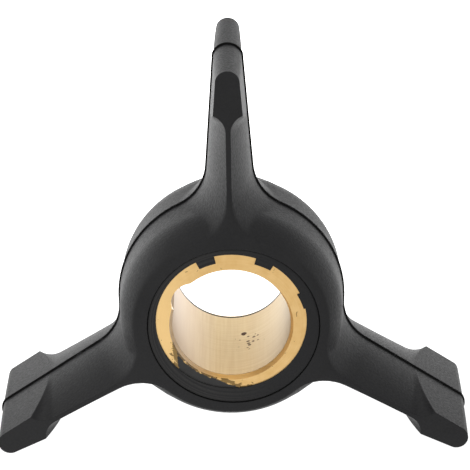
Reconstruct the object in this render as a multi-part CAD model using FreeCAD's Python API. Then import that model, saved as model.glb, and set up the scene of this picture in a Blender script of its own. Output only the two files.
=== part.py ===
import FreeCAD, Part
import math
import os

os.makedirs("parts", exist_ok=True)
V = FreeCAD.Vector
ALONG = V(0, -1, 0)          # bore axis toward the front; angles run anticlockwise seen from there
ORIGIN = V(0, 0, 0)

# Brass insert, sizes in millimetres
bore_r = 7.97                # running bore for a 15.88 mm drive shaft
insert_r = 11.0
insert_drop = 0.3            # the insert face lies this far below the end face of the hub
bore_lead = 0.80             # depth of the lead-in chamfer at each bore mouth
bore_flare = 0.36            # radial width of the same chamfer
edge_break = 0.12            # broken outer corner of the insert
key_r = 3.0                  # round-bottomed key slot
key_offset = 6.05            # slot centre from the bore axis
key_angle = 146.0

# Rubber hub
body_half = 9.5              # half the width of hub and vanes
hub_r = 15.3                 # radius at the parting plane
hub_draft = 0.15             # loss of radius from parting plane to shoulder
shoulder_y = 4.2             # height where the rounded shoulder starts
shoulder_r = 7.7             # radius of that round
face_r = 13.1                # outer edge of the flat end face

# Mark of the core ring of the mould, a little off the bore axis
core_x = 0.3
core_z = -0.15
seat_drop = 0.15             # the pressed seat lies this far below the end face
groove_r = 11.5              # fine groove round the seat
groove_w = 0.14
groove_d = 0.3

# Opening in the rubber lip over the insert face, with the tabs that reach into it
lip_r = 10.12
lip_rise = 0.53              # the opening sits this far above the bore axis
tab_r = 9.75                 # inner edge of the tabs, about the core ring
tab_angle = 22.0             # centre of the first tab
tab_pitch = 44.0
tab_span = 13.5              # angle filled by one tab
tab_count = 3

# Vanes
vane_count = 3
tip_r = 36.9
crown = 1.3                  # height of the crowned tip
tip_half = 1.84              # half thickness where the crown starts, at the parting plane
vane_draft = 0.27            # half thickness lost from parting plane to end face
vane_taper = math.radians(4.26)
root_r = 7.0                 # root round at the parting plane
head_length = 4.87           # full-thickness head behind the crown at the end face
head_length_mid = 7.6        # the same at the parting plane
scoop_r = 2.73               # round from head corner to neck edge
scoop_mid = 0.5              # length of that round at the parting plane
neck_half = 0.3              # half thickness of the neck edge
end_root_r = 2.95            # root round at the end face

# Parting-line flash
flash_out = 0.22
flash_half = 0.12            # half thickness


def revolve(points, angle=360.0):
    """Solid of revolution about the bore from (radius, along) points."""
    ring = [V(r, y, 0) for r, y in points]
    face = Part.Face(Part.makePolygon(ring + ring[:1]))
    return face.revolve(ORIGIN, ALONG, angle)


def on_vane(u, v, y):
    """Point u out from the bore axis and v across the upright vane, y along the bore."""
    return V(-v, y, u)


def round_mid(centre, radius, a, b):
    """Middle point of the arc of that centre that runs from a to b."""
    x = a[0] + b[0] - 2 * centre[0]
    y = a[1] + b[1] - 2 * centre[1]
    k = radius / math.hypot(x, y)
    return centre[0] + k * x, centre[1] + k * y


def outline(y, side, tip):
    """Closed wire at one height: a side from root to tip, the crown and the mirrored side."""
    there = [[on_vane(u, v, y) for u, v in run] for run in side]
    back = [[on_vane(u, -v, y) for u, v in reversed(run)] for run in reversed(side)]
    crown = [there[-1][-1], on_vane(tip, 0, y), back[0][0]]
    root = [back[-1][-1], there[0][0]]
    runs = there + [crown] + back + [root]
    return Part.Wire([Part.makeLine(*r) if len(r) == 2 else Part.Arc(*r).toShape() for r in runs])


# Places out along the vane: start of the crown and inner corner of the head
tip_u = tip_r - crown
head_u = tip_u - head_length
head_u_mid = tip_u - head_length_mid


def thickness(u):
    """Half thickness of the blade at the parting plane."""
    return tip_half + (tip_u - u) * math.tan(vane_taper)


def root_round(start, slope, radius, around):
    """Arc from a circle about the bore to the flank line through start: hub, middle and foot."""
    n = (math.sin(slope), math.cos(slope))
    q = (start[0] + radius * n[0], start[1] + radius * n[1])
    reach = around + radius
    b = q[1] * n[0] - q[0] * n[1]
    run = -b - math.sqrt(b * b - (q[0] ** 2 + q[1] ** 2 - reach ** 2))
    centre = (q[0] - run * n[1], q[1] + run * n[0])
    foot = (centre[0] - radius * n[0], centre[1] - radius * n[1])
    hub = (centre[0] * around / reach, centre[1] * around / reach)
    return [hub, round_mid(centre, radius, hub, foot), foot]


def parting_side(grow):
    """Side of the vane at the parting plane, moved out by grow."""
    out = grow / math.cos(vane_taper)
    tip, corner, inner = [(u, thickness(u) + out) for u in (tip_u, head_u_mid, head_u_mid - scoop_mid)]
    root = root_round(tip, vane_taper, root_r - grow, hub_r + grow)
    return [root, [root[-1], inner], [inner, corner], [corner, tip]]


def end_side():
    """Side of the vane at an end face: neck edge, scooped round and head."""
    head = (head_u, thickness(head_u) - vane_draft)
    rise = head[1] - neck_half
    bend = (head_u - math.sqrt(scoop_r ** 2 - (scoop_r - rise) ** 2), neck_half)
    middle = round_mid((bend[0], neck_half + scoop_r), scoop_r, bend, head)
    root = root_round(bend, 0, end_root_r, face_r)
    return [root, [root[-1], bend], [bend, middle, head], [head, (tip_u, tip_half - vane_draft)]]


def to_end(radius, low, sign, x, z):
    """Cylinder about that point, from this height out to the end face."""
    return Part.makeCylinder(radius, body_half - low, V(x, sign * low, z), V(0, sign, 0))


# Rubber hub: one profile, turned about the bore, with rounded shoulder and flash
insert_half = body_half - insert_drop
mouth_r = bore_r + bore_flare
shoulder_out = hub_r - hub_draft
chord = math.hypot(shoulder_out - face_r, body_half - shoulder_y)
bulge = (shoulder_r - math.sqrt(shoulder_r ** 2 - chord ** 2 / 4)) / chord
shoulder_mid = ((face_r + shoulder_out) / 2 + bulge * (body_half - shoulder_y),
                (body_half + shoulder_y) / 2 + bulge * (shoulder_out - face_r))


def half_profile(sign):
    """Hub profile from the insert to the flash at the front or the back."""
    inner = [(insert_r, insert_half - edge_break), (insert_r - edge_break, insert_half),
             (mouth_r, insert_half), (mouth_r, body_half), (face_r, body_half)]
    outer = [(shoulder_out, shoulder_y), (hub_r, flash_half), (hub_r + flash_out, flash_half)]
    inner, middle, outer = [[V(r, sign * y, 0) for r, y in run]
                            for run in (inner, [shoulder_mid], outer)]
    edges = [Part.makeLine(a, b) for run in (inner, outer) for a, b in zip(run, run[1:])]
    edges.append(Part.Arc(inner[-1], middle[0], outer[0]).toShape())
    return edges, inner[0], outer[-1]


front, front_in, front_out = half_profile(-1)
back, back_in, back_out = half_profile(1)
closing = [Part.makeLine(front_out, back_out), Part.makeLine(back_in, front_in)]
hub = Part.Face(Part.Wire(Part.__sortEdges__(front + back + closing))).revolve(ORIGIN, ALONG, 360)

# Vanes: a smooth loft from end face through parting plane to end face
ends = end_side()
sections = [outline(-body_half, ends, tip_r), outline(0, parting_side(0), tip_r),
            outline(body_half, ends, tip_r)]
vane = Part.makeLoft(sections, True, False)
skin = Part.Face(outline(-flash_half, parting_side(flash_out), tip_r + flash_out))
flash = skin.extrude(V(0, 2 * flash_half, 0))

rubber = hub
for k in range(vane_count):
    for piece in (vane, flash):
        placed = piece.copy()
        placed.rotate(ORIGIN, ALONG, k * 360.0 / vane_count)
        rubber = rubber.fuse(placed)

# Core ring: pressed seat and groove. The lip is cleared off the insert face, except at the tabs
seat_y = body_half - seat_drop
groove_y = seat_y - groove_d
tab = revolve([(tab_r, -body_half), (face_r, -body_half),
               (face_r, body_half), (tab_r, body_half)], tab_span)
tab.rotate(ORIGIN, ALONG, tab_angle - tab_span / 2)
for sign in (-1, 1):
    seat = to_end(groove_r + groove_w, seat_y, sign, core_x, core_z)
    groove = to_end(groove_r + groove_w, groove_y, sign, core_x, core_z)
    groove = groove.cut(to_end(groove_r, groove_y, sign, core_x, core_z))
    opening = to_end(lip_r, insert_half, sign, 0, lip_rise)
    for k in range(tab_count):
        kept = tab.copy()
        kept.rotate(ORIGIN, ALONG, k * tab_pitch)
        kept.translate(V(core_x, 0, core_z))
        opening = opening.cut(kept)
    for tool in (seat, groove, opening):
        rubber = rubber.cut(tool)
rubber = rubber.removeSplitter()

# Brass insert: turned bush with a key slot milled along the bore
end = [(bore_r, insert_half - bore_lead), (mouth_r, insert_half),
       (insert_r - edge_break, insert_half), (insert_r, insert_half - edge_break)]
insert = revolve([(r, -y) for r, y in end] + end[::-1])
key_turn = math.radians(key_angle)
key_centre = V(key_offset * math.cos(key_turn), body_half, key_offset * math.sin(key_turn))
insert = insert.cut(Part.makeCylinder(key_r, 2 * body_half, key_centre, ALONG))

for name, shape in (("rubber_body", rubber), ("brass_insert", insert)):
    print(name, shape.isValid(), len(shape.Solids), round(shape.Volume, 1), shape.BoundBox)
    shape.exportStep("parts/" + name + ".step")
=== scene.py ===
import math

import bpy
import numpy as np
from mathutils import Matrix, Vector


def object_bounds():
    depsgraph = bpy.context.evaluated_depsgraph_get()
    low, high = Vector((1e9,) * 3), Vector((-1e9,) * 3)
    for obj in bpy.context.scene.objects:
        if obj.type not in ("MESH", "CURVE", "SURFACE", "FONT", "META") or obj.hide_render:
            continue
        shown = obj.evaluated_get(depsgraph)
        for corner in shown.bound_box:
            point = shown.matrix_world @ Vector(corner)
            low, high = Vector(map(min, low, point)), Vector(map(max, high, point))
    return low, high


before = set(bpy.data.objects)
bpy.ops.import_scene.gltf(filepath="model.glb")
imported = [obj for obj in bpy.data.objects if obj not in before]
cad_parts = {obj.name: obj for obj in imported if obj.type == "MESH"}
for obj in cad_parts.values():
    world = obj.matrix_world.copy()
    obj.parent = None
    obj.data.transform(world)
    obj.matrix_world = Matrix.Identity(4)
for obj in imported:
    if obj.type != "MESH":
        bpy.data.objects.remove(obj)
loaded_low, loaded_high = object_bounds()

# Rubber body: hub and three vanes moulded in one piece of black nitrile rubber and bonded to the
# bush. The mould leaves a fine matte grain, a parting line half way along and the marks of the
# core ring that held the bush.
MM = 0.001
PARTING_HALF = 0.12 * MM     # half the height of the flash at the parting line
CORE_MIDDLE = (0.3 * MM, -0.15 * MM, 0.0)    # of the core ring of the mould, a little off centre
SEAT_OUTER = 11.5 * MM       # the core ring pressed on the rubber up to here
GROOVE_OUTER = 11.66 * MM    # and its rim cut a groove up to here
END_HALF = 9.5 * MM          # half the width of the hub
SEAT_NEAR = 9.2 * MM         # and its mark lies further than this from the middle of the part
CORE_RING_LINES = 0.3 * MM   # spacing of the fine rings turned into that core ring
RUBBER_GRAIN = 0.3 * MM      # a real grain of 0.05 mm is too fine to show, so it is drawn coarser
RUBBER_CLOUD = 5.0 * MM      # slow change of tone from the flow in the mould
DUST_PITCH, DUST_SIZE, DUST_RARE = 3.2 * MM, 0.03, 0.86      # cells above DUST_RARE hold a speck
FLASH_WANDER = 0.8 * MM      # length over which the dark parting line changes its width
GROOVE_SHADE_FROM = 8.0 * MM       # painted shade fills the groove from this far off the parting plane
GROOVE_SHADE_TOP = 2.0 * MM        # and up to this height above the bore axis
SLACK = 0.03 * MM            # a place on a face is told from its neighbours by this much
SEAT_LOW, SEAT_HIGH = 0.1 * MM, 0.4 * MM      # drawn edge rounds: at the seat, lower and upper half
HUB_EDGE, VANE_EDGE = 1.3 * MM, 0.25 * MM     # round the hub, and out along the vanes


def linear(code):
    """Linear red, green, blue and alpha of an sRGB hex colour such as "1f1f21"."""
    srgb = np.array([int(code[k:k + 2], 16) for k in (0, 2, 4)]) / 255
    return (*np.where(srgb <= 0.04045, srgb / 12.92, ((srgb + 0.055) / 1.055) ** 2.4), 1.0)


def add(tree, kind, inputs, **settings):
    """Adds a node with its settings. An input is a value, an output, or a node for its first output."""
    made = tree.nodes.new("ShaderNode" + kind)
    for name, value in settings.items():
        setattr(made, name, value)
    for name, value in inputs.items():
        if isinstance(value, bpy.types.Node):
            value = next(output for output in value.outputs if output.enabled)
        if isinstance(value, bpy.types.NodeSocket):
            tree.links.new(value, made.inputs[name])
        else:
            made.inputs[name].default_value = value
    return made


# Nitrile rubber, moulded: near black and matte, with a dull bloom where light grazes it
rubber = bpy.data.materials.new("moulded_nitrile_rubber")
rubber.use_nodes = True
tree = rubber.node_tree
shader = tree.nodes["Principled BSDF"]
shader.inputs["IOR"].default_value = 1.33
shader.inputs["Sheen Weight"].default_value = 0.04
shader.inputs["Sheen Roughness"].default_value = 0.3
place = add(tree, "TexCoord", {}).outputs["Object"]
axes = add(tree, "SeparateXYZ", {0: place})
height = add(tree, "Math", {0: axes.outputs["Y"]}, operation="ABSOLUTE")
across = add(tree, "CombineXYZ", {"X": axes.outputs["X"], "Y": axes.outputs["Z"]})
radius = add(tree, "VectorMath", {0: across, 1: CORE_MIDDLE}, operation="DISTANCE")
cloud = add(tree, "TexNoise", {"Vector": place, "Scale": 1 / RUBBER_CLOUD, "Detail": 3.0})
grain = add(tree, "TexNoise", {"Vector": place, "Scale": 1 / RUBBER_GRAIN, "Detail": 2.0})
# The tone drifts slowly at random and is paler towards the left
left = add(tree, "MapRange", {"Value": axes.outputs["X"], 1: -16.0 * MM, 2: 16.0 * MM, 3: 0.5, 4: -0.3})
tone_drift = add(tree, "Math", {0: cloud, 1: left}, operation="ADD")
tone = add(tree, "MixRGB", {"Fac": tone_drift, 1: linear("08080a"), 2: linear("141415")})

# Seat ring: a little paler on the left, with the fine rings of the core ring pressed into it
inside = add(tree, "Math", {0: radius, 1: SEAT_OUTER}, operation="LESS_THAN")
at_end = add(tree, "Math", {0: height, 1: SEAT_NEAR}, operation="GREATER_THAN")
seat = add(tree, "Math", {0: inside, 1: at_end}, operation="MULTIPLY")
ring_lines = add(tree, "TexNoise", {"W": add(tree, "Math", {0: radius, 1: 1 / CORE_RING_LINES},
                                             operation="MULTIPLY"),
                                    "Scale": 1.0, "Detail": 2.0}, noise_dimensions="1D")
pale = add(tree, "MapRange", {"Value": ring_lines, 1: 0.35, 2: 0.65, 3: 0.0, 4: 1.0})
leftward = add(tree, "MapRange", {"Value": axes.outputs["X"], 1: -4.0 * MM, 2: 6.0 * MM, 3: 1.0, 4: 0.0})
pale_left = add(tree, "Math", {0: pale, 1: leftward}, operation="MULTIPLY")
pale_seat = add(tree, "Math", {0: pale_left, 1: seat}, operation="MULTIPLY")
seated = add(tree, "MixRGB", {"Fac": pale_seat, 1: tone, 2: linear("232221")})

# Parting line: rubber squeezed between the mould halves, ragged and dull
wander = add(tree, "TexNoise", {"Vector": place, "Scale": 1 / FLASH_WANDER, "Detail": 4.0})
reach = add(tree, "MapRange", {"Value": wander, 1: 0.35, 2: 0.65,
                               3: 0.9 * PARTING_HALF, 4: 3.6 * PARTING_HALF})
parting = add(tree, "Math", {0: height, 1: reach}, operation="LESS_THAN")

# Groove round the seat: its lower half is painted black as shade in the narrow groove
in_groove = add(tree, "Math", {0: add(tree, "Math", {0: radius, 1: SEAT_OUTER + SLACK},
                                      operation="GREATER_THAN"),
                               1: add(tree, "Math", {0: radius, 1: GROOVE_OUTER}, operation="LESS_THAN")},
                operation="MULTIPLY")
below = add(tree, "Math", {0: height, 1: END_HALF - SLACK}, operation="LESS_THAN")
wall = add(tree, "Math", {0: in_groove, 1: below}, operation="MULTIPLY")
lower = add(tree, "Math", {0: axes.outputs["Z"], 1: GROOVE_SHADE_TOP}, operation="LESS_THAN")
low_wall = add(tree, "Math", {0: wall, 1: lower}, operation="MULTIPLY")
off_middle = add(tree, "Math", {0: height, 1: GROOVE_SHADE_FROM}, operation="GREATER_THAN")
groove_shade = add(tree, "Math", {0: low_wall, 1: off_middle}, operation="MULTIPLY")
# Black along the parting line, and painted shade in the lower half of the groove
flash_and_groove_shade = add(tree, "Math", {0: parting, 1: groove_shade}, operation="MAXIMUM")
lined = add(tree, "MixRGB", {"Fac": flash_and_groove_shade, 1: seated, 2: linear("020202")})

# Dust: a few pale specks caught in the matte surface
cells = add(tree, "TexVoronoi", {"Vector": place, "Scale": 1 / DUST_PITCH})
near = add(tree, "Math", {0: cells, 1: DUST_SIZE}, operation="LESS_THAN")
rare = add(tree, "Math", {0: add(tree, "SeparateColor", {0: cells.outputs["Color"]}), 1: DUST_RARE},
           operation="GREATER_THAN")
speck = add(tree, "Math", {0: near, 1: rare}, operation="MULTIPLY")
dusty = add(tree, "MixRGB", {"Fac": speck, 1: lined, 2: linear("7c7c78")})
tree.links.new(dusty.outputs[0], shader.inputs["Base Color"])
rough = add(tree, "MapRange", {"Value": grain, 1: 0.3, 2: 0.7, 3: 0.48, 4: 0.62})
dull = add(tree, "Math", {0: rough, 1: flash_and_groove_shade}, operation="MAXIMUM")
tree.links.new(dull.outputs[0], shader.inputs["Roughness"])

# Fine relief of the surface, and edges that are sharp at the seat and round on the hub
pressed = add(tree, "Math", {0: ring_lines, 1: seat}, operation="MULTIPLY")
relief = add(tree, "Math", {0: pressed, 1: 0.6, 2: grain}, operation="MULTIPLY_ADD")
crisp = add(tree, "MapRange", {"Value": axes.outputs["Z"], 1: -2.0 * MM, 2: 4.0 * MM,
                               3: SEAT_LOW, 4: SEAT_HIGH})
outside = add(tree, "MapRange", {"Value": radius, 1: 12.0 * MM, 2: 14.0 * MM, 3: crisp, 4: HUB_EDGE})
along_vane = add(tree, "MapRange", {"Value": radius, 1: 17.0 * MM, 2: 20.0 * MM,
                                    3: HUB_EDGE, 4: VANE_EDGE})
rounding = add(tree, "Math", {0: outside, 1: along_vane}, operation="MINIMUM")
soft_edge = add(tree, "Bevel", {"Radius": rounding}, samples=8)
bumpy = add(tree, "Bump", {"Height": relief, "Distance": 0.05 * MM, "Strength": 0.7,
                           "Normal": soft_edge})
tree.links.new(bumpy.outputs[0], shader.inputs["Normal"])
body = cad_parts["rubber_body"]
body.material_slots[0].material = rubber

# Root rounds of the rubber: at the end faces the rigid body has tight ones and the real part has
# wide ones, so the flanks and the hub beside them are drawn over to the wide round. The change
# fades to nothing at the parting plane. Places are (out from the bore axis, across the vane).
FACE_R, NECK_HALF = 13.1 * MM, 0.3 * MM      # hub circle and neck edge at an end face
TIGHT_ROUND, WIDE_ROUND = 2.95 * MM, 6.0 * MM
MIDDLE_ROUND, MIDDLE_PLACE = 7.0 * MM, (19.92 * MM, 10.03 * MM)      # at the parting plane
MIDDLE_ENDS = (math.radians(-153.3), math.radians(-94.26))
NECK_END, NECK_END_GAIN = 27.5 * MM, 0.73 * MM       # the head starts here, further out at the ends
VANE_PITCH = math.radians(120.0)
SURE_HUB = 12.95 * MM        # nothing moves inside this radius
LONGEST_PULL = 2.5 * MM      # the full weight of a modifier
LEAST_WEIGHT = 0.0001
ROUND_POINTS = 97
steps = np.linspace(0.0, 1.0, ROUND_POINTS)


def arc(place, radius, first, last):
    """Points of that arc, as rows of (out, across)."""
    angle = first + steps * (last - first)
    return np.stack([place[0] + radius * np.cos(angle), place[1] + radius * np.sin(angle)], axis=1)


def end_round(radius):
    """Root round of that radius at an end face, from the hub circle to the neck edge."""
    rise = NECK_HALF + radius
    out = math.sqrt((FACE_R + radius) ** 2 - rise ** 2)
    return arc((out, rise), radius, math.atan2(-rise, -out), -math.pi / 2)


# Each vertex by its nearest vane: radius, angle beside the vane, and how much of the end-face
# shape the flank has at its height
spots = np.empty(3 * len(body.data.vertices))
body.data.vertices.foreach_get("co", spots)
x, y, z = spots.reshape(-1, 3).T
reach_out, turned = np.hypot(x, z), np.arctan2(x, z)
vane = np.round(turned / VANE_PITCH) * VANE_PITCH
side, aside = np.sign(turned - vane), np.abs(turned - vane)
out, across_vane = reach_out * np.cos(aside), reach_out * np.sin(aside)
full = (y / END_HALF) ** 2

# Where each vertex sits along the tight round at its height, and the way to the wide round. Past
# the foot the pull fades along the neck
middle = arc(MIDDLE_PLACE, MIDDLE_ROUND, *MIDDLE_ENDS)
tight, wide = end_round(TIGHT_ROUND), end_round(WIDE_ROUND)
curve = middle + full[:, None, None] * (tight - middle)
nearest = np.hypot(curve[..., 0] - out[:, None], curve[..., 1] - across_vane[:, None]).argmin(axis=1)
foot = curve[:, -1, 0]
head = NECK_END + NECK_END_GAIN * full
along_neck = np.where(nearest == ROUND_POINTS - 1, np.clip((head - out) / (head - foot), 0.0, 1.0), 1.0)
pull = (full * along_neck)[:, None] * (wide - tight)[nearest]
slid_out, slid_across = out + pull[:, 0], across_vane + pull[:, 1]

# On the hub the vertices slide round the bore axis, less and less up to half way to the next vane
hub_start = np.arctan2(curve[:, 0, 1], curve[:, 0, 0])
spread = math.atan2(wide[0, 1], wide[0, 0]) - math.atan2(tight[0, 1], tight[0, 0])
fade_round = (VANE_PITCH / 2 - aside) / (VANE_PITCH / 2 - hub_start)
on_hub = nearest == 0
aside_new = np.where(on_hub, aside + full * spread * fade_round, np.arctan2(slid_across, slid_out))
reach_new = np.where(on_hub, reach_out, np.hypot(slid_out, slid_across))
turned_new = vane + side * aside_new
moved = reach_out > SURE_HUB

# The moves are given to modifiers, one for each axis and sense
for axis, shift in (("X", reach_new * np.sin(turned_new) - x), ("Z", reach_new * np.cos(turned_new) - z)):
    for sign, word in ((1, "up"), (-1, "down")):
        weight = np.where(moved, np.clip(sign * shift / LONGEST_PULL, 0.0, 1.0), 0.0)
        group = body.vertex_groups.new(name=f"root_{axis}_{word}")
        for index in np.flatnonzero(weight > LEAST_WEIGHT):
            group.add([int(index)], float(weight[index]), "REPLACE")
        draw = body.modifiers.new(group.name, "DISPLACE")
        draw.direction, draw.vertex_group = axis, group.name
        draw.mid_level, draw.strength = 0.0, sign * LONGEST_PULL

# Brass insert: a bush turned from bar, faced at both ends, with a lead-in chamfer at each bore
# mouth and a key slot, and bonded into the rubber. A film of rubber that crept under the core ring
# sticks to the lower left of the front face, torn at both ends.
INSERT_HALF = 9.2 * MM       # half the length of the bush
BORE_R = 7.97 * MM
MOUTH_R = 8.33 * MM          # outer edge of the lead-in chamfer
FEED_MARKS = 0.22 * MM       # rings left by the tool, drawn coarser than the real 0.1 mm
DRAW_MARKS = 0.35 * MM       # spacing of the faint streaks along the bore
STREAK_LENGTH = 9.0 * MM
FILM_MIDDLE, FILM_REACH = math.radians(-118.0), math.radians(31.0)
FILM_SLANT = math.radians(14.0) / MM      # its ends lean, further round at the outer edge
FILM_INNER = 8.38 * MM       # the film stops here, just short of the bore mouth
PATINA_SIZE, PIT_PITCH = 1.3 * MM, 0.8 * MM
FAR_DARK_EDGE = 1.2 * MM        # width of the darker band at the far end of the bore
SLOT_END = 0.85 * MM         # the chamfer takes this much of the key slot's wall
FILM_RADIUS = 9.1 * MM       # where FILM_MIDDLE and FILM_REACH are measured
FILM_DEPTH = 0.15 * MM       # it sticks to the front face only, down to this depth
FILM_WAVE, FILM_EDGE = 0.7 * MM, 0.08 * MM     # waviness of its inner edge, and how soon it thins
END_STEEP, END_RISE = 16.0, 0.15 * MM     # how abruptly that edge runs outward at the torn ends
TEAR_TURN, TEAR_PITCH = 9.0, 0.6 * MM     # size of the tears: round the face per radian, and across it
STAIN_PLACE = (2.4 * MM, 0.4 * MM, -7.5 * MM)    # brown pits at the bottom of the bore
STAIN_REACH = 3.4 * MM
DENT_PLACE, DENT_R = (1.64 * MM, 2.95 * MM, -7.8 * MM), 0.45 * MM    # the deepest of them
DENT_FRAY = 0.6 * MM
BORE_DULL = 0.52             # roughness of bore and key slot

# Brass, turned and dulled by handling: warm yellow with soft reflections
brass = bpy.data.materials.new("turned_brass")
brass.use_nodes = True
tree = brass.node_tree
shader = tree.nodes["Principled BSDF"]
place = add(tree, "TexCoord", {}).outputs["Object"]
axes = add(tree, "SeparateXYZ", {0: place})
across = add(tree, "CombineXYZ", {"X": axes.outputs["X"], "Y": axes.outputs["Z"]})
radius = add(tree, "VectorMath", {0: across}, operation="LENGTH")
patina = add(tree, "TexNoise", {"Vector": place, "Scale": 1 / PATINA_SIZE, "Detail": 4.0})
feed = add(tree, "TexNoise", {"W": add(tree, "Math", {0: radius, 1: 1 / FEED_MARKS},
                                       operation="MULTIPLY"),
                              "Scale": 1.0, "Detail": 2.0}, noise_dimensions="1D")
mottle = add(tree, "Math", {0: feed, 1: 0.35, 2: patina}, operation="MULTIPLY_ADD")
faced = add(tree, "MapRange", {"Value": mottle, 1: 0.5, 2: 0.85, 3: 0.0, 4: 1.0})
plain = add(tree, "MixRGB", {"Fac": faced, 1: linear("d7b072"), 2: linear("dfbb80")})
# The face is paler towards the left
paler_left_face = add(tree, "MapRange", {"Value": axes.outputs["X"], 1: -9.0 * MM, 2: -4.0 * MM, 3: 0.85, 4: 0.0})
yellow = add(tree, "MixRGB", {"Fac": paler_left_face, 1: plain, 2: linear("f0cb8c")})

# Bore wall: paler, greyer at both sides, on the left as a painted highlight, streaked along its
# length on the left and ringed on the right, with a few brown pits and a darker far edge
along = add(tree, "VectorMath", {0: place, 1: (1 / DRAW_MARKS, 1 / STREAK_LENGTH, 1 / DRAW_MARKS)},
            operation="MULTIPLY")
streak = add(tree, "TexNoise", {"Vector": along, "Scale": 1.0, "Detail": 2.0})
rings = add(tree, "VectorMath", {0: place, 1: (1 / STREAK_LENGTH, 1 / FEED_MARKS, 1 / STREAK_LENGTH)},
            operation="MULTIPLY")
ring_mark = add(tree, "TexNoise", {"Vector": rings, "Scale": 1.0, "Detail": 2.0})
to_left = add(tree, "MapRange", {"Value": axes.outputs["X"], 1: -5.0 * MM, 2: 1.0 * MM, 3: 0.85, 4: 0.25})
marks = add(tree, "MixRGB", {"Fac": to_left, 1: ring_mark, 2: streak})
drawn = add(tree, "MapRange", {"Value": marks, 1: 0.35, 2: 0.65, 3: 0.0, 4: 1.0})
rubbed_tone = add(tree, "MixRGB", {"Fac": drawn, 1: linear("ceb58c"), 2: linear("dac59c")})
# The bore wall turns greyer and darker towards the right
to_right = add(tree, "MapRange", {"Value": axes.outputs["X"], 1: 2.0 * MM, 2: 7.5 * MM, 3: 0.0, 4: 0.75})
greyer_right = add(tree, "MixRGB", {"Fac": to_right, 1: rubbed_tone, 2: linear("a89b88")})
# Painted highlight: bore wall and chamfer pale and greyish white on the left
left_highlight = add(tree, "MapRange", {"Value": axes.outputs["X"], 1: -7.5 * MM, 2: -2.0 * MM, 3: 0.95, 4: 0.0})
highlighted_bore = add(tree, "MixRGB", {"Fac": left_highlight, 1: greyer_right, 2: linear("cbbbaa")})
pit = add(tree, "TexVoronoi", {"Vector": place, "Scale": 1 / PIT_PITCH})
from_stain = add(tree, "VectorMath", {0: place, 1: STAIN_PLACE}, operation="DISTANCE")
fade = add(tree, "MapRange", {"Value": from_stain, 1: 0.3 * STAIN_REACH, 2: STAIN_REACH,
                              3: 0.56, 4: 0.2})
frayed = add(tree, "Math", {0: ring_mark, 1: 0.5, 2: pit}, operation="MULTIPLY_ADD")
pitted = add(tree, "Math", {0: frayed, 1: fade}, operation="LESS_THAN")
stained = add(tree, "MixRGB", {"Fac": add(tree, "Math", {0: pitted, 1: 0.8}, operation="MULTIPLY"),
                               1: highlighted_bore, 2: linear("4a2f14")})
# The far end of the bore is darker
far = add(tree, "Math", {0: axes.outputs["Y"], 1: INSERT_HALF - FAR_DARK_EDGE}, operation="GREATER_THAN")
ragged = add(tree, "Math", {0: patina, 1: -DENT_FRAY,
                            2: add(tree, "VectorMath", {0: place, 1: DENT_PLACE}, operation="DISTANCE")},
             operation="MULTIPLY_ADD")
dent = add(tree, "Math", {0: ragged, 1: DENT_R - DENT_FRAY / 2}, operation="LESS_THAN")
dented = add(tree, "MixRGB", {"Fac": dent, 1: stained, 2: linear("4a2f14")})
far_darker = add(tree, "MixRGB", {"Fac": far, 1: dented, 2: linear("2a241c")})
in_bore = add(tree, "Math", {0: radius, 1: BORE_R + SLACK}, operation="LESS_THAN")
lead_in = add(tree, "Math", {0: add(tree, "Math", {0: radius, 1: MOUTH_R}, operation="LESS_THAN"),
                             1: in_bore}, operation="SUBTRACT")
chamfer_tone = add(tree, "MixRGB", {"Fac": left_highlight, 1: linear("f6cf8a"), 2: linear("fff3e2")})
bright = add(tree, "MixRGB", {"Fac": lead_in, 1: yellow, 2: chamfer_tone})
turned_part = add(tree, "MixRGB", {"Fac": in_bore, 1: bright, 2: far_darker})

# Key slot: its milled wall, between the two chamfers, is dull, and painted dark as shade in the slot
beyond = add(tree, "Math", {0: radius, 1: BORE_R + SLACK}, operation="GREATER_THAN")
between = add(tree, "Math", {0: add(tree, "Math", {0: axes.outputs["Y"]}, operation="ABSOLUTE"),
                             1: INSERT_HALF - SLOT_END}, operation="LESS_THAN")
slot_wall = add(tree, "Math", {0: beyond, 1: between}, operation="MULTIPLY")
bare = add(tree, "MixRGB", {"Fac": slot_wall, 1: turned_part, 2: linear("8a6d42")})

# Rubber film: spreads about FILM_MIDDLE with torn ends, its inner edge a little wavy
turn = add(tree, "Math", {0: axes.outputs["Z"], 1: axes.outputs["X"]}, operation="ARCTAN2")
lean = add(tree, "Math", {0: radius, 1: -FILM_SLANT, 2: FILM_RADIUS * FILM_SLANT - FILM_MIDDLE},
           operation="MULTIPLY_ADD")
off = add(tree, "Math", {0: turn, 1: lean}, operation="ADD")
stroke = add(tree, "CombineXYZ", {"X": add(tree, "Math", {0: turn, 1: TEAR_TURN}, operation="MULTIPLY"),
                                  "Y": add(tree, "Math", {0: radius, 1: 1 / TEAR_PITCH},
                                           operation="MULTIPLY")})
tear = add(tree, "TexNoise", {"Vector": stroke, "Scale": 1.0, "Detail": 5.0, "Distortion": 1.0})
share = add(tree, "Math", {0: add(tree, "Math", {0: off}, operation="ABSOLUTE"), 1: FILM_REACH},
            operation="DIVIDE")
torn = add(tree, "Math", {0: tear, 1: 0.5, 2: share}, operation="MULTIPLY_ADD")
steep = add(tree, "Math", {0: torn, 1: END_STEEP}, operation="POWER")
edge = add(tree, "Math", {0: steep, 1: END_RISE, 2: FILM_INNER}, operation="MULTIPLY_ADD")
wave = add(tree, "Math", {0: tear, 1: FILM_WAVE, 2: -FILM_WAVE / 2}, operation="MULTIPLY_ADD")
inner = add(tree, "Math", {0: edge, 1: wave}, operation="ADD")
past = add(tree, "Math", {0: radius, 1: inner}, operation="SUBTRACT")
thick = add(tree, "MapRange", {"Value": past, 1: 0.0, 2: FILM_EDGE, 3: 0.0, 4: 1.0})
front = add(tree, "Math", {0: axes.outputs["Y"], 1: FILM_DEPTH - INSERT_HALF}, operation="LESS_THAN")
film = add(tree, "Math", {0: thick, 1: front}, operation="MULTIPLY")
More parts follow.
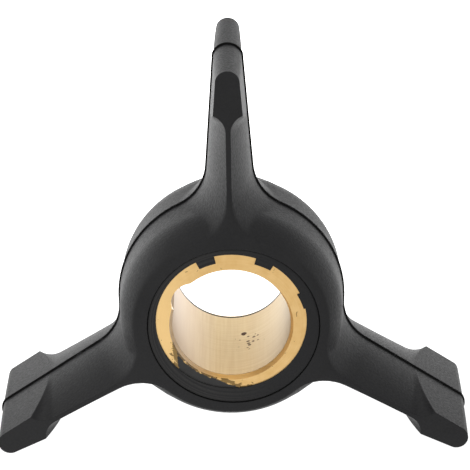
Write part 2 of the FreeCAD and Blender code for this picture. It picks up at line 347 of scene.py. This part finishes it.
# Beside its torn ends the face is smudged brown
beside = add(tree, "MapRange", {"Value": share, 1: 1.0, 2: 1.4, 3: 0.6, 4: 0.3})
smudge = add(tree, "Math", {0: tear, 1: beside}, operation="LESS_THAN")
smudged = add(tree, "Math", {0: add(tree, "Math", {0: smudge, 1: front}, operation="MULTIPLY"), 1: 0.75},
              operation="MULTIPLY")
browned = add(tree, "MixRGB", {"Fac": smudged, 1: bare, 2: linear("4c3a1e")})
smeared = add(tree, "MixRGB", {"Fac": film, 1: browned, 2: linear("141312")})
tree.links.new(smeared.outputs[0], shader.inputs["Base Color"])

# The film doesn't shine like the bare metal. The chamfer is a little duller than the face, and
# bore and key slot are duller still
metal = add(tree, "Math", {0: 1.0, 1: film}, operation="SUBTRACT")
tree.links.new(metal.outputs[0], shader.inputs["Metallic"])
handled = add(tree, "MapRange", {"Value": patina, 1: 0.3, 2: 0.7, 3: 0.34, 4: 0.43})
fine = add(tree, "Math", {0: lead_in, 1: 0.05, 2: handled}, operation="MULTIPLY_ADD")
inner_side = add(tree, "Math", {0: in_bore, 1: slot_wall}, operation="MAXIMUM")
rubbed = add(tree, "Mix", {"Factor": inner_side, "A": fine, "B": BORE_DULL})
coated = add(tree, "Math", {0: film, 1: 0.25, 2: rubbed}, operation="MULTIPLY_ADD")
tree.links.new(coated.outputs[0], shader.inputs["Roughness"])
faint = add(tree, "Math", {0: marks, 1: 0.2}, operation="MULTIPLY")
tooled = add(tree, "MixRGB", {"Fac": in_bore, 1: feed, 2: faint})
bumpy = add(tree, "Bump", {"Height": tooled, "Distance": 0.02 * MM, "Strength": 0.5})
tree.links.new(bumpy.outputs[0], shader.inputs["Normal"])
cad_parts["brass_insert"].material_slots[0].material = brass

# Studio: a white acrylic table, lit from below, brighter towards the back and dimmer on the
# right, in a white room that is bright low down, behind and straight above, more on the left
table = bpy.data.meshes.new("table")
CORNER = 3.0                 # half the side of the table
table.from_pydata([(x, y, loaded_low.z) for x, y in
                   ((-CORNER, -CORNER), (CORNER, -CORNER), (CORNER, CORNER), (-CORNER, CORNER))],
                  [], [(0, 1, 2, 3)])
floor = bpy.data.objects.new("table", table)
bpy.context.scene.collection.objects.link(floor)
acrylic = bpy.data.materials.new("lit_white_acrylic")
acrylic.use_nodes = True
tree = acrylic.node_tree
shader = tree.nodes["Principled BSDF"]
spot = add(tree, "SeparateXYZ", {0: add(tree, "TexCoord", {}).outputs["Object"]})
cast = add(tree, "TexNoise", {"Vector": add(tree, "TexCoord", {}).outputs["Object"], "Scale": 400.0})
shade = add(tree, "MixRGB", {"Fac": cast, 1: linear("5a5a5a"), 2: linear("5e5e5e")})
tree.links.new(shade.outputs[0], shader.inputs["Base Color"])
shader.inputs["Roughness"].default_value = 0.9
shader.inputs["Emission Color"].default_value = linear("ffffff")
in_front = add(tree, "MapRange", {"Value": spot.outputs["Y"], 1: -0.03, 2: -0.018, 3: 0.8, 4: 1.07})
farther = add(tree, "MapRange", {"Value": spot.outputs["Y"], 1: 0.0, 2: 0.1, 3: 0.0, 4: 1.5})
back = add(tree, "Math", {0: in_front, 1: farther}, operation="ADD")
dim = add(tree, "MapRange", {"Value": spot.outputs["X"], 1: 0.04, 2: 0.13, 3: 1.0, 4: 0.35},
          interpolation_type="SMOOTHSTEP")
beyond_right = add(tree, "MapRange", {"Value": spot.outputs["X"], 1: 0.2, 2: 0.6, 3: 0.0, 4: 0.5},
                   interpolation_type="SMOOTHSTEP")
to_the_right = add(tree, "Math", {0: dim, 1: beyond_right}, operation="ADD")
lit = add(tree, "Math", {0: back, 1: to_the_right}, operation="MULTIPLY")
tree.links.new(lit.outputs[0], shader.inputs["Emission Strength"])
table.materials.append(acrylic)

world = bpy.data.worlds.new("white_room")
world.use_nodes = True
tree = world.node_tree
look = add(tree, "SeparateXYZ", {0: add(tree, "TexCoord", {}).outputs["Generated"]})
climb = add(tree, "MapRange", {"Value": look.outputs["Z"], 1: 0.1, 2: 0.7, 3: 1.95, 4: 0.4})
overhead = add(tree, "MapRange", {"Value": look.outputs["Z"], 1: 0.7, 2: 0.95, 3: 0.0, 4: 1.3})
behind = add(tree, "MapRange", {"Value": look.outputs["Y"], 1: 0.65, 2: 0.95, 3: 0.0, 4: 0.5})
low_and_high = add(tree, "Math", {0: climb, 1: overhead}, operation="ADD")
room = add(tree, "Math", {0: low_and_high, 1: behind}, operation="ADD")
sideways = add(tree, "MapRange", {"Value": look.outputs["X"], 1: -1.0, 2: 1.0, 3: 1.15, 4: 0.93})
glow = add(tree, "Math", {0: room, 1: sideways}, operation="MULTIPLY")
tree.links.new(glow.outputs[0], tree.nodes["Background"].inputs["Strength"])
tree.nodes["Background"].inputs["Color"].default_value = linear("ffffff")
bpy.context.scene.world = world

# Camera: in front and 26 degrees above, about 0.36 m away
YAW, PITCH, ROLL = math.radians(0.4), math.radians(26.07), math.radians(-0.92)
DISTANCE = 363.56 * MM
SHIFT_RIGHT, SHIFT_UP = 0.62 * MM, 8.07 * MM     # of the aim from the bore centre
PIXELS, FOCAL_PIXELS = 470, 2648.8
towards = Vector((math.sin(YAW) * math.cos(PITCH), -math.cos(YAW) * math.cos(PITCH),
                  math.sin(PITCH)))
level = Vector((0, 0, 1)).cross(towards).normalized()
upright = towards.cross(level)
rightward = math.cos(ROLL) * level + math.sin(ROLL) * upright
above = math.cos(ROLL) * upright - math.sin(ROLL) * level
lens = bpy.data.cameras.new("camera")
lens.sensor_width = 36.0
lens.lens = lens.sensor_width * FOCAL_PIXELS / PIXELS
lens.clip_start, lens.clip_end = 0.01, 20.0
camera = bpy.data.objects.new("camera", lens)
stand = DISTANCE * towards + SHIFT_RIGHT * level + SHIFT_UP * upright
aimed = Matrix((rightward, above, towards)).transposed().to_4x4()
camera.matrix_world = Matrix.Translation(stand) @ aimed
bpy.context.scene.collection.objects.link(camera)
bpy.context.scene.camera = camera
bpy.context.scene.view_settings.view_transform = "Standard"
